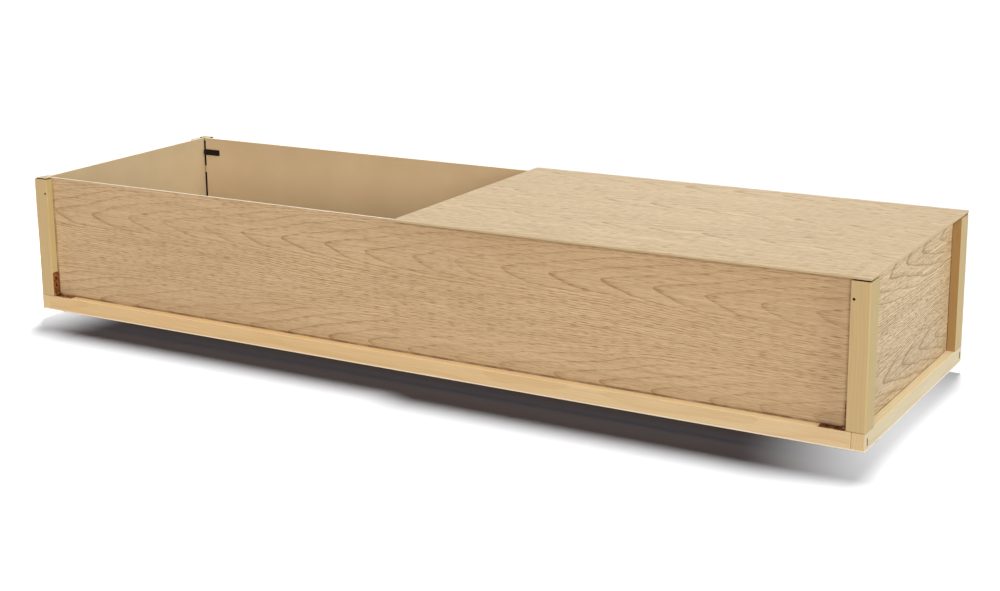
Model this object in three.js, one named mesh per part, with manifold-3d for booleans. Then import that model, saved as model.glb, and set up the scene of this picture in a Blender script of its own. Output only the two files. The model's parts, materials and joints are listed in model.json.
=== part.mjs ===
// A long, shallow storage box on low rollers. A pine frame carries four corner posts and thin
// board panels, and the lid is a loose half that covers the right-hand end.
//
// Millimetres, +Z up. The origin is on the floor, under the centre of the box. +X runs along the
// length to the right-hand end, and the front faces -Y.

import * as THREE from "three";
import { mergeVertices } from "three/addons/utils/BufferGeometryUtils.js";
import Module from "manifold-3d";

const wasm = await Module();
wasm.setup();

// ---- Driving dimensions ----

const GAP = 0.3; // left between two pieces that touch
const LENGTH = 1473;
const WIDTH = 457;
const HALF_LENGTH = LENGTH / 2;
const HALF_WIDTH = WIDTH / 2;
const BOARD = 3.2; // thickness of every panel, of the bottom and of the lid

// Base frame: end rails run the full width, with the long rails between them.
const RAIL_FOOT = 16.5; // height of the rails' underside above the floor
const RAIL_HEIGHT = 25;
const RAIL_THICK = 19;
const RAIL_TOP = RAIL_FOOT + RAIL_HEIGHT;
const GROOVE_DEPTH = 6; // groove in the rails that holds the bottom board
const GROOVE_LIP = 2.1; // wood left above the groove
const GROOVE_TOP = RAIL_TOP - GROOVE_LIP;
const GROOVE_FOOT = GROOVE_TOP - BOARD - 2 * GAP;
const SLAT_THICK = 9; // flat slats under the bottom board, which carry the rollers
const SLAT_WIDTH = 70;

// Corner posts: an L in plan, one leg along the front or back and one along the end.
const POST_HEIGHT = 207;
const POST_LONG_LEG = 27; // along the length
const POST_LONG_THICK = 14;
const POST_END_LEG = 36; // along the width
const POST_END_THICK = 13;
const POST_CORNER = 2; // radius of the outer corner
const POST_ARRIS = 0.8; // radius of every other corner
const POST_FOOT = RAIL_TOP + GAP;
const POST_TOP = RAIL_TOP + POST_HEIGHT;

// Fastener pads on the post tops. The panels are flush with them, and the lid rests on both.
const PAD_LENGTH = 22;
const PAD_DEPTH = 12.4;
const PAD_THICK = 2;
const PAD_SHIFT = 1.5; // every pad sits this much to the right of its post's middle
const PANEL_TOP = POST_TOP + PAD_THICK;
const LID_FOOT = PANEL_TOP + GAP;

// Panels behind the posts' legs, and the tape in the slot between them.
const LONG_PANEL_Y = POST_LONG_THICK + GAP; // from the front or back face
const END_PANEL_X = POST_END_THICK + GAP; // from the end face
const END_PANEL_INNER = END_PANEL_X + BOARD;
const TAPE_WIDTH = 1.8;
const LONG_PANEL_X = END_PANEL_INNER + TAPE_WIDTH + 2 * GAP; // from the end face
const TAPE_BREAK = [167, 180]; // the tape is in two lengths, apart between these heights
const TAPE_TOP = 229; // both above the rails' underside

// Turn buttons, which hold the long panels against the posts' legs.
const BUTTON_LENGTH = 37;
const BUTTON_WIDTH = 11;
const BUTTON_THICK = 2.5;
const BUTTON_Y = LONG_PANEL_Y + BOARD + GAP;
const PIVOT_X = 22.5; // from the end face
const PIVOT_Z = POST_TOP - 25;
const RIVET_SHANK = 1.75; // radius
const RIVET_HEAD = 3.4; // radius
const RIVET_HEAD_THICK = 1.4;
const RIVET_SHORT = 0.8; // the shank ends this far inside the post's face
const NOTCH_HEIGHT = 6; // open slot in the panel's end, which clears the rivet
const NOTCH_END = PIVOT_X + NOTCH_HEIGHT / 2;

// Hinges at the posts' feet: one leaf on the post, one on the rail.
const LEAF_WIDTH = 13;
const LEAF_Y = 0.6; // from the front or back face
const LEAF_THICK = 1.2;
const LEAF_REACH = 42; // height of the post's leaf, above the rail
const RAIL_LEAF_REACH = 38; // length of the rail's leaf, from the post
const KNUCKLE = 2.4; // radius
const HINGE_PIN = 1.1; // radius
const HINGE_X = POST_LONG_LEG + GAP + KNUCKLE + 0.2;
const HINGE_Z = RAIL_TOP + GAP + KNUCKLE + 0.2;
const KNUCKLE_SHARE = LEAF_WIDTH / 3; // each knuckle's share of the width
const SCREW_HOLE = 1.8; // radius
const POST_SCREWS = [19, 32]; // above the rail
const RAIL_SCREWS = [14, 28]; // from the post

// Rollers, under the slats.
const WHEEL = 11; // radius
const WHEEL_WIDTH = 12;
const WHEEL_HUB = 5; // radius
const WHEEL_DISH = 1.5; // depth of the recess round the hub
const AXLE = 2; // radius
const AXLE_BORE = AXLE + GAP;
const AXLE_HEAD = 3.4; // radius
const AXLE_HEAD_THICK = 1.2;
const BRACKET_THICK = 1.5;
const BRACKET_SIZE = [44, 34];
const CHEEK_WIDTH = 12;
const CHEEK_GAP = WHEEL_WIDTH + 3; // between the bracket's cheeks
const BRACKET_TOP = GROOVE_FOOT + GAP - SLAT_THICK - 2 * GAP;
const ROLLER_X = 54; // the roller's centre, from the end face
const ROLLER_Y = 70; // the roller's centre, from the front or back face

// ---- Materials ----

const matter = (color, roughness, metalness = 0) =>
  new THREE.MeshStandardMaterial({ color, roughness, metalness });
const PINE = matter(0xd9ba8c, 0.55);
const POST_WOOD = matter(0xd2b57c, 0.5);
const OAK_BOARD = matter(0xc5a57f, 0.6);
const LID_BOARD = matter(0xd2ba96, 0.55);
const PLAIN_BOARD = matter(0xba9b75, 0.7);
const BLACK_TAPE = matter(0x161210, 0.95);
const BLACK_PLASTIC = matter(0x1a1716, 0.45);
const BRASS = matter(0xb5803f, 0.35, 1);
const STEEL = matter(0xa8a9aa, 0.35, 1);
const BLACK_METAL = matter(0x26201d, 0.5, 0.6);
const WHEEL_PLASTIC = matter(0x2b2b2d, 0.5);

// ---- Shapes ----

// A box between two corners.
function block([x0, y0, z0], [x1, y1, z1]) {
  const shape = new THREE.BoxGeometry(x1 - x0, y1 - y0, z1 - z0);
  return shape.translate((x0 + x1) / 2, (y0 + y1) / 2, (z0 + z1) / 2);
}

// A closed outline through points, with each corner rounded by its own radius.
function outline(points, radii) {
  const shape = new THREE.Shape();
  points.forEach((corner, i) => {
    const before = points.at(i - 1);
    const after = points[(i + 1) % points.length];
    const start = corner.clone().add(before.clone().sub(corner).setLength(radii[i]));
    const end = corner.clone().add(after.clone().sub(corner).setLength(radii[i]));
    if (i === 0) shape.moveTo(start.x, start.y);
    else shape.lineTo(start.x, start.y);
    shape.quadraticCurveTo(corner.x, corner.y, end.x, end.y);
  });
  shape.closePath();
  return shape;
}

// An outline in the YZ plane, drawn out along X.
function alongX(shape, from, to, curveSegments = 4) {
  const options = { depth: to - from, bevelEnabled: false, curveSegments };
  const turn = new THREE.Matrix4().makeBasis(
    new THREE.Vector3(0, 1, 0),
    new THREE.Vector3(0, 0, 1),
    new THREE.Vector3(1, 0, 0),
  );
  return new THREE.ExtrudeGeometry(shape, options).applyMatrix4(turn).translate(from, 0, 0);
}

// An outline in the XZ plane, drawn out along Y.
function alongY(shape, from, to, curveSegments = 4) {
  const options = { depth: to - from, bevelEnabled: false, curveSegments };
  return new THREE.ExtrudeGeometry(shape, options).rotateX(Math.PI / 2).translate(0, to, 0);
}

// A round bar along X or Y, through the point given by its other two coordinates.
function barX(radius, from, to, y, z, sides = 16) {
  const bar = new THREE.CylinderGeometry(radius, radius, to - from, sides);
  return bar.rotateZ(Math.PI / 2).translate((from + to) / 2, y, z);
}
function barY(radius, from, to, x, z, sides = 16) {
  const bar = new THREE.CylinderGeometry(radius, radius, to - from, sides);
  return bar.translate(x, (from + to) / 2, z);
}

// A geometry as a manifold-3d solid, and back.
function solid(geometry) {
  const bare = geometry.clone();
  bare.deleteAttribute("normal");
  bare.deleteAttribute("uv");
  const merged = mergeVertices(bare, 1e-4);
  const mesh = { numProp: 3, vertProperties: merged.attributes.position.array };
  return new wasm.Manifold(new wasm.Mesh({ ...mesh, triVerts: new Uint32Array(merged.index.array) }));
}
function geometryOf(manifold) {
  const { vertProperties, triVerts } = manifold.getMesh();
  const shape = new THREE.BufferGeometry();
  shape.setAttribute("position", new THREE.BufferAttribute(vertProperties, 3));
  shape.setIndex(new THREE.BufferAttribute(triVerts, 1));
  shape.computeVertexNormals();
  return shape;
}
const join = (...pieces) => geometryOf(pieces.map(solid).reduce((a, b) => a.add(b)));
const cut = (from, ...tools) =>
  geometryOf(tools.map(solid).reduce((a, b) => a.subtract(b), solid(from)));

// ---- The group, and the four corners ----

const storageBox = new THREE.Group();

function piece(name, geometry, material, parent = storageBox) {
  const mesh = new THREE.Mesh(geometry, material);
  mesh.name = name;
  parent.add(mesh);
  return mesh;
}

// Corner pieces are drawn once, for the front left corner, from its outer edge inwards. The
// other three corners are mirror images.
const CORNERS = [
  { name: "front_left", side: -1, face: -1 },
  { name: "front_right", side: 1, face: -1 },
  { name: "back_left", side: -1, face: 1 },
  { name: "back_right", side: 1, face: 1 },
].map((corner) => {
  const group = new THREE.Group();
  group.position.set(corner.side * HALF_LENGTH, corner.face * HALF_WIDTH, 0);
  group.scale.set(-corner.side, -corner.face, 1);
  storageBox.add(group);
  return { ...corner, group };
});

// The same piece at each corner.
const atCorners = (name, geometry, material) =>
  CORNERS.forEach((corner) => piece(`${name}_${corner.name}`, geometry, material, corner.group));

// ---- Base ----

// A long rail's section, with its groove on the inner side.
function longRailSection() {
  const inner = RAIL_THICK - GROOVE_DEPTH;
  const points = [
    [0, RAIL_FOOT],
    [RAIL_THICK, RAIL_FOOT],
    [RAIL_THICK, GROOVE_FOOT],
    [inner, GROOVE_FOOT],
    [inner, GROOVE_TOP],
    [RAIL_THICK, GROOVE_TOP],
    [RAIL_THICK, RAIL_TOP],
    [0, RAIL_TOP],
  ];
  return new THREE.Shape(points.map(([y, z]) => new THREE.Vector2(y, z)));
}

function makeRails() {
  const reach = HALF_LENGTH - RAIL_THICK - GAP;
  const longRail = alongX(longRailSection(), -reach, reach);
  const grooveBack = RAIL_THICK - GROOVE_DEPTH;
  const grooveEnd = HALF_WIDTH - grooveBack;
  const endRail = cut(
    block([0, -HALF_WIDTH, RAIL_FOOT], [RAIL_THICK, HALF_WIDTH, RAIL_TOP]),
    block([grooveBack, -grooveEnd, GROOVE_FOOT], [RAIL_THICK + 1, grooveEnd, GROOVE_TOP]),
  );
  for (const [name, face] of [["front", -1], ["back", 1]]) {
    const rail = piece(`rail_${name}`, longRail, PINE);
    rail.position.y = face * HALF_WIDTH;
    rail.rotation.z = face > 0 ? Math.PI : 0;
  }
  for (const [name, side] of [["left", -1], ["right", 1]]) {
    const rail = piece(`rail_${name}`, endRail, PINE);
    rail.position.x = side * HALF_LENGTH;
    rail.rotation.z = side > 0 ? Math.PI : 0;
  }
}

function makeBottom() {
  const edge = RAIL_THICK - GROOVE_DEPTH + GAP;
  const foot = GROOVE_FOOT + GAP;
  const low = [edge - HALF_LENGTH, edge - HALF_WIDTH, foot];
  const high = [HALF_LENGTH - edge, HALF_WIDTH - edge, foot + BOARD];
  piece("bottom_board", block(low, high), PLAIN_BOARD);
}

function makeSlats() {
  const top = GROOVE_FOOT;
  const reach = HALF_WIDTH - RAIL_THICK - GAP;
  const slat = block([0, -reach, top - SLAT_THICK], [SLAT_WIDTH, reach, top]);
  const inset = RAIL_THICK + GAP;
  piece("slat_left", slat, PINE).position.x = inset - HALF_LENGTH;
  piece("slat_right", slat, PINE).position.x = HALF_LENGTH - inset - SLAT_WIDTH;
}

// ---- Posts and panels ----

function makePosts() {
  const points = [
    [0, 0],
    [POST_LONG_LEG, 0],
    [POST_LONG_LEG, POST_LONG_THICK],
    [POST_END_THICK, POST_LONG_THICK],
    [POST_END_THICK, POST_END_LEG],
    [0, POST_END_LEG],
  ].map(([x, y]) => new THREE.Vector2(x, y));
  const radii = points.map((_, i) => (i === 0 ? POST_CORNER : POST_ARRIS));
  const height = POST_TOP - POST_FOOT;
  const options = { depth: height, bevelEnabled: false, curveSegments: 5 };
  const post = new THREE.ExtrudeGeometry(outline(points, radii), options);
  post.translate(0, 0, POST_FOOT);
  const bore = barY(RIVET_SHANK + GAP, -1, POST_LONG_THICK + 1, PIVOT_X, PIVOT_Z);
  atCorners("post", cut(post, bore), POST_WOOD);
}

function makePads() {
  const middle = (POST_LONG_THICK - PAD_DEPTH) / 2;
  const start = (POST_LONG_LEG - PAD_LENGTH) / 2;
  const low = [start, middle, POST_TOP + GAP];
  const pad = block(low, [start + PAD_LENGTH, middle + PAD_DEPTH, PANEL_TOP]);
  for (const corner of CORNERS) {
    const mesh = piece(`pad_${corner.name}`, pad, BLACK_TAPE, corner.group);
    mesh.position.x = -corner.side * PAD_SHIFT;
  }
}

function makeLongPanels() {
  const reach = HALF_LENGTH - LONG_PANEL_X;
  const deep = BOARD + 1;
  const notch = (side) => {
    const inner = side * (HALF_LENGTH - NOTCH_END);
    const outer = side * (reach + 1);
    const low = [Math.min(inner, outer), -1, PIVOT_Z - NOTCH_HEIGHT / 2];
    return block(low, [Math.max(inner, outer), deep, PIVOT_Z + NOTCH_HEIGHT / 2]);
  };
  const panel = cut(
    block([-reach, 0, POST_FOOT], [reach, BOARD, PANEL_TOP]),
    notch(-1),
    notch(1),
  );
  for (const [name, face] of [["front", -1], ["back", 1]]) {
    const mesh = piece(`panel_${name}`, panel, OAK_BOARD);
    mesh.position.y = face * (HALF_WIDTH - LONG_PANEL_Y);
    mesh.rotation.z = face > 0 ? Math.PI : 0;
  }
}

function makeEndPanels() {
  const reach = HALF_WIDTH - POST_LONG_THICK - GAP;
  const panel = block([0, -reach, POST_FOOT], [BOARD, reach, PANEL_TOP]);
  for (const [name, side] of [["left", -1], ["right", 1]]) {
    const mesh = piece(`panel_${name}`, panel, OAK_BOARD);
    mesh.position.x = side * (HALF_LENGTH - END_PANEL_X);
    mesh.rotation.z = side > 0 ? Math.PI : 0;
  }
}

function makeTape() {
  const lengths = {
    upper: [RAIL_FOOT + TAPE_BREAK[1], RAIL_FOOT + TAPE_TOP],
    lower: [POST_FOOT, RAIL_FOOT + TAPE_BREAK[0]],
  };
  const start = END_PANEL_INNER + GAP;
  for (const [name, [foot, top]] of Object.entries(lengths)) {
    const low = [start, LONG_PANEL_Y, foot];
    const tape = block(low, [start + TAPE_WIDTH, LONG_PANEL_Y + BOARD, top]);
    atCorners(`tape_${name}`, tape, BLACK_TAPE);
  }
}

function makeLid() {
  const low = [GAP, -HALF_WIDTH, LID_FOOT];
  piece("lid_half", block(low, [HALF_LENGTH, HALF_WIDTH, LID_FOOT + BOARD]), LID_BOARD);
}

// ---- Turn buttons ----

// A flat bar with a full round end about its pivot and small corners at its free end.
function makeButtons() {
  const half = BUTTON_WIDTH / 2;
  const tip = PIVOT_X - half + BUTTON_LENGTH;
  const corner = 1.5;
  const shape = new THREE.Shape();
  shape.moveTo(PIVOT_X, PIVOT_Z - half);
  shape.lineTo(tip - corner, PIVOT_Z - half);
  shape.absarc(tip - corner, PIVOT_Z - half + corner, corner, -Math.PI / 2, 0, false);
  shape.absarc(tip - corner, PIVOT_Z + half - corner, corner, 0, Math.PI / 2, false);
  shape.lineTo(PIVOT_X, PIVOT_Z + half);
  shape.absarc(PIVOT_X, PIVOT_Z, half, Math.PI / 2, (3 * Math.PI) / 2, false);
  const bar = alongY(shape, BUTTON_Y, BUTTON_Y + BUTTON_THICK, 10);
  const bore = barY(RIVET_SHANK + GAP, BUTTON_Y - 1, BUTTON_Y + BUTTON_THICK + 1, PIVOT_X, PIVOT_Z);
  atCorners("turn_button", cut(bar, bore), BLACK_PLASTIC);
}

// A rivet through the post and the button, with its head inside the box.
function makeRivets() {
  const head = BUTTON_Y + BUTTON_THICK + GAP;
  const rivet = join(
    barY(RIVET_SHANK, RIVET_SHORT, head + 0.1, PIVOT_X, PIVOT_Z),
    barY(RIVET_HEAD, head, head + RIVET_HEAD_THICK, PIVOT_X, PIVOT_Z),
  );
  atCorners("rivet", rivet, BLACK_METAL);
}

// ---- Hinges ----

const LEAF_END = LEAF_Y + LEAF_WIDTH;
const knuckleSpan = (i) => [
  LEAF_Y + i * KNUCKLE_SHARE + (i > 0 ? GAP / 2 : 0),
  LEAF_Y + (i + 1) * KNUCKLE_SHARE - (i < 2 ? GAP / 2 : 0),
];
const CLEAR_OF_KNUCKLE = KNUCKLE + 2 * GAP;

// The pin's bore, cut through all the knuckles.
const pinBore = () => barY(HINGE_PIN + GAP, LEAF_Y - 1, LEAF_END + 1, HINGE_X, HINGE_Z, 12);

// The leaf on the post's inner side: a plate, and the middle knuckle on a tongue.
function postLeaf() {
  const face = POST_LONG_LEG + GAP;
  const plate = block(
    [face, LEAF_Y, HINGE_Z + CLEAR_OF_KNUCKLE],
    [face + LEAF_THICK, LEAF_END, RAIL_TOP + LEAF_REACH],
  );
  const [from, to] = knuckleSpan(1);
  const tongue = block([face, from, HINGE_Z], [face + LEAF_THICK, to, HINGE_Z + CLEAR_OF_KNUCKLE + 1]);
  const middle = LEAF_Y + LEAF_WIDTH / 2;
  const holes = POST_SCREWS.map((rise) =>
    barX(SCREW_HOLE, face - 1, face + LEAF_THICK + 1, middle, RAIL_TOP + rise, 12),
  );
  return cut(join(plate, tongue, barY(KNUCKLE, from, to, HINGE_X, HINGE_Z)), pinBore(), ...holes);
}

// The leaf on the rail: a plate, and the two outer knuckles on tongues.
function railLeaf() {
  const foot = RAIL_TOP + GAP;
  const plate = block(
    [HINGE_X + CLEAR_OF_KNUCKLE, LEAF_Y, foot],
    [POST_LONG_LEG + RAIL_LEAF_REACH, LEAF_END, foot + LEAF_THICK],
  );
  const knuckles = [0, 2].flatMap((i) => {
    const [from, to] = knuckleSpan(i);
    const tongue = [HINGE_X, from, foot];
    return [
      block(tongue, [HINGE_X + CLEAR_OF_KNUCKLE + 1, to, foot + LEAF_THICK]),
      barY(KNUCKLE, from, to, HINGE_X, HINGE_Z),
    ];
  });
  const middle = LEAF_Y + LEAF_WIDTH / 2;
  const holes = RAIL_SCREWS.map((reach) =>
    new THREE.CylinderGeometry(SCREW_HOLE, SCREW_HOLE, 2 * LEAF_THICK, 12)
      .rotateX(Math.PI / 2)
      .translate(POST_LONG_LEG + reach, middle, foot + LEAF_THICK / 2),
  );
  return cut(join(plate, ...knuckles), pinBore(), ...holes);
}

function makeHinges() {
  atCorners("hinge_post_leaf", postLeaf(), BRASS);
  atCorners("hinge_rail_leaf", railLeaf(), BRASS);
  const pin = barY(HINGE_PIN, LEAF_Y, LEAF_END, HINGE_X, HINGE_Z, 12);
  atCorners("hinge_pin", pin, BRASS);
}

// ---- Rollers ----

// A bent bracket: a plate screwed to the slat, and two cheeks that hold the axle.
function bracket() {
  const [long, wide] = BRACKET_SIZE;
  const plateFoot = BRACKET_TOP - BRACKET_THICK;
  const plate = block(
    [ROLLER_X - long / 2, ROLLER_Y - wide / 2, plateFoot],
    [ROLLER_X + long / 2, ROLLER_Y + wide / 2, BRACKET_TOP],
  );
  const half = CHEEK_WIDTH / 2;
  const cheek = new THREE.Shape();
  cheek.moveTo(ROLLER_Y - half, plateFoot + 0.5);
  cheek.lineTo(ROLLER_Y - half, WHEEL);
  cheek.absarc(ROLLER_Y, WHEEL, half, Math.PI, 2 * Math.PI, false);
  cheek.lineTo(ROLLER_Y + half, plateFoot + 0.5);
  const inner = CHEEK_GAP / 2;
  const cheeks = [-inner - BRACKET_THICK, inner].map((x) =>
    alongX(cheek, ROLLER_X + x, ROLLER_X + x + BRACKET_THICK, 8),
  );
  const reach = inner + BRACKET_THICK + 1;
  const bore = barX(AXLE_BORE, ROLLER_X - reach, ROLLER_X + reach, ROLLER_Y, WHEEL);
  return cut(join(plate, ...cheeks), bore);
}

// A wheel turned about its bore, with rounded shoulders and a dished side.
function wheel() {
  const half = WHEEL_WIDTH / 2;
  const side = [
    [AXLE_BORE, half],
    [WHEEL_HUB, half],
    [WHEEL_HUB + 0.6, half - WHEEL_DISH],
    [WHEEL - 2.8, half - WHEEL_DISH],
    [WHEEL - 2.2, half - 0.6],
    [WHEEL - 1.2, half - 0.6],
    [WHEEL - 0.4, half - 1],
    [WHEEL, half - 2],
  ];
  const profile = [...side, ...side.toReversed().map(([r, x]) => [r, -x])];
  profile.push(profile[0]);
  const points = profile.toReversed().map(([r, x]) => new THREE.Vector2(r, x));
  const turned = new THREE.LatheGeometry(points, 28);
  return turned.rotateZ(Math.PI / 2).translate(ROLLER_X, ROLLER_Y, WHEEL);
}

// An axle with a flat head outside each cheek.
function axle() {
  const cheek = CHEEK_GAP / 2 + BRACKET_THICK + GAP;
  const bar = barX(AXLE, ROLLER_X - cheek - 0.1, ROLLER_X + cheek + 0.1, ROLLER_Y, WHEEL);
  const heads = [-cheek - AXLE_HEAD_THICK, cheek].map((x) =>
    barX(AXLE_HEAD, ROLLER_X + x, ROLLER_X + x + AXLE_HEAD_THICK, ROLLER_Y, WHEEL),
  );
  return join(bar, ...heads);
}

function makeRollers() {
  atCorners("roller_bracket", bracket(), STEEL);
  atCorners("roller_wheel", wheel(), WHEEL_PLASTIC);
  atCorners("roller_axle", axle(), STEEL);
}

makeRails();
makeBottom();
makeSlats();
makePosts();
makePads();
makeLongPanels();
makeEndPanels();
makeTape();
makeLid();
makeButtons();
makeRivets();
makeHinges();
makeRollers();

export default storageBox;
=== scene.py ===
"""Looks of the under bed box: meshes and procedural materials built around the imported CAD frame.

Lengths are in millimetres while a mesh or a texture is worked out, and in metres in the scene.
+X runs along the box to its right-hand end, the front faces -Y, and +Z is up.
"""

import json
import math

import bmesh
import bpy
from mathutils import Matrix, Vector

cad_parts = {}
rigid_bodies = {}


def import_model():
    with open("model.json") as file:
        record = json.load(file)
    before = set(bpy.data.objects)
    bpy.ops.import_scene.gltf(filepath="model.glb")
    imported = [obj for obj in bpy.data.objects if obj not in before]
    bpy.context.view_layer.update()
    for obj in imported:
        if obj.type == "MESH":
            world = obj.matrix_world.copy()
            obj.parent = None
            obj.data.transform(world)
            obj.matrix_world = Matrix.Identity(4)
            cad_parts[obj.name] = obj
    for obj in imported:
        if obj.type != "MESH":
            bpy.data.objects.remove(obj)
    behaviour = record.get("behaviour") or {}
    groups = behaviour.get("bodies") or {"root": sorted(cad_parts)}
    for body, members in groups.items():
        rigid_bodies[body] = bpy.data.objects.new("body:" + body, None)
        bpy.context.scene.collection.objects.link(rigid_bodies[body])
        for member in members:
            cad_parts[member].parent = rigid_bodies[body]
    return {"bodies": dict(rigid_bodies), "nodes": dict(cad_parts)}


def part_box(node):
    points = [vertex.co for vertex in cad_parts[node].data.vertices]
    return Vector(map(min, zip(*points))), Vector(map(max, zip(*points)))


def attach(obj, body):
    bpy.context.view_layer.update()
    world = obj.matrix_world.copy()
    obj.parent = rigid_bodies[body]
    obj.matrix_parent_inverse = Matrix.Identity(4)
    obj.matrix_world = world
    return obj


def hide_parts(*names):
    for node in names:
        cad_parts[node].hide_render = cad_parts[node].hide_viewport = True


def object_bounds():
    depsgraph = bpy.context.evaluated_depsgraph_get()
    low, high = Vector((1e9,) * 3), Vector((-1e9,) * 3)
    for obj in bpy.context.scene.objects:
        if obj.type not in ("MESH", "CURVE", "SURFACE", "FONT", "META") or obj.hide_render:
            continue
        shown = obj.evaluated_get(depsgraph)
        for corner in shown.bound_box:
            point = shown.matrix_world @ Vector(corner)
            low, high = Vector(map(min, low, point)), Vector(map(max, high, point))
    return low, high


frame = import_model()
cad_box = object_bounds()

MM = 0.001
PHOTO_SIZE = (1000, 591)

# ---- Driving dimensions, in millimetres ----

HALF_LENGTH = cad_box[1].x / MM
HALF_WIDTH = cad_box[1].y / MM
TOP = cad_box[1].z / MM

EDGE_TIMBER = 0.9  # radius of the rails' and slats' edges
EDGE_POST = 0.8
EDGE_BOARD = 0.25
EDGE_SOFT = 0.3  # pads
EDGE_STEEL = 0.18
EDGE_BUTTON = 0.45

TAPE_LAP = 2.2  # over the long panel
TAPE_THICK = 0.2

LEAF_THICK = 1.2
LEAF_CORNER = 1.6  # radius of a hinge leaf's corners
LEAF_GAP = 0.15  # between a knuckle's end and the middle of the gap beside it
KNUCKLE_EDGE = 0.25
KNUCKLE_ROOM = 0.6  # between a knuckle and the other leaf
PIN_PLAY = 0.25
PIN_TIP = 0.3
POST_SCREWS = (19, 32)  # above the rail
RAIL_SCREWS = (14, 28)  # from the post
SCREW_HOLE = 1.8  # radius
SCREW_HEAD = 2.7  # radius
SINK_DEPTH = 0.9  # of a countersunk head
HEAD_RISE = 0.12  # of the middle of one over its leaf

BRACKET_THICK = 1.5
BRACKET_CORNER = 4
BRACKET_HOLE = 1.9  # radius
BRACKET_SCREW_INSET = 5.5  # from the plate's edges
PAN_HEAD = 3.2  # radius
PAN_RISE = 1.9
AXLE_HEAD = 1.2  # thickness
AXLE_RADIUS, AXLE_HOLE = 2, 2.3
AXLE_ROOM = 0.3  # between its heads and the cheeks

BUTTON_CORNER = 1.5
BUTTON_HOLE = 2.05  # radius

STAPLE_CROWN = 10
STAPLE_WIRE = 0.65  # radius
STAPLE_BEND = 0.9
STAPLE_LEG = 2.5
STAPLE_RISE = 0.15  # of the crown's middle line over the wood
STAPLE_INSET = 9.5  # from the end rail's ends

WELD = 2e-6  # metres, on CAD meshes
WELD_DRAWN = 1e-4
FLAT, ROUNDED, CREASED = 0.5, 40, 50  # degrees: dissolved below, bevelled above, shaded sharp above

CORNERS = {
    "front_left": (-1, -1),
    "front_right": (1, -1),
    "back_left": (-1, 1),
    "back_right": (1, 1),
}


# ---- Material graphs ----

# Painted shade where pieces meet, broken up along each joint.
CRACK_SHADE_RUN = 45  # how long the darkest stretches of a joint are
CRACK_SHADE_FAINTEST = 0.45


class Value:
    """A number that varies over a surface. Arithmetic on it adds math nodes to its graph."""

    def __init__(self, graph, socket):
        self.graph = graph
        self.socket = socket

    def __add__(self, other):
        return self.graph.math("ADD", self, other)

    def __sub__(self, other):
        return self.graph.math("SUBTRACT", self, other)

    def __rsub__(self, other):
        return self.graph.math("SUBTRACT", other, self)

    def __mul__(self, other):
        return self.graph.math("MULTIPLY", self, other)

    def __truediv__(self, other):
        return self.graph.math("DIVIDE", self, other)

    def __abs__(self):
        return self.graph.math("ABSOLUTE", self)

    __radd__ = __add__
    __rmul__ = __mul__


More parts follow.
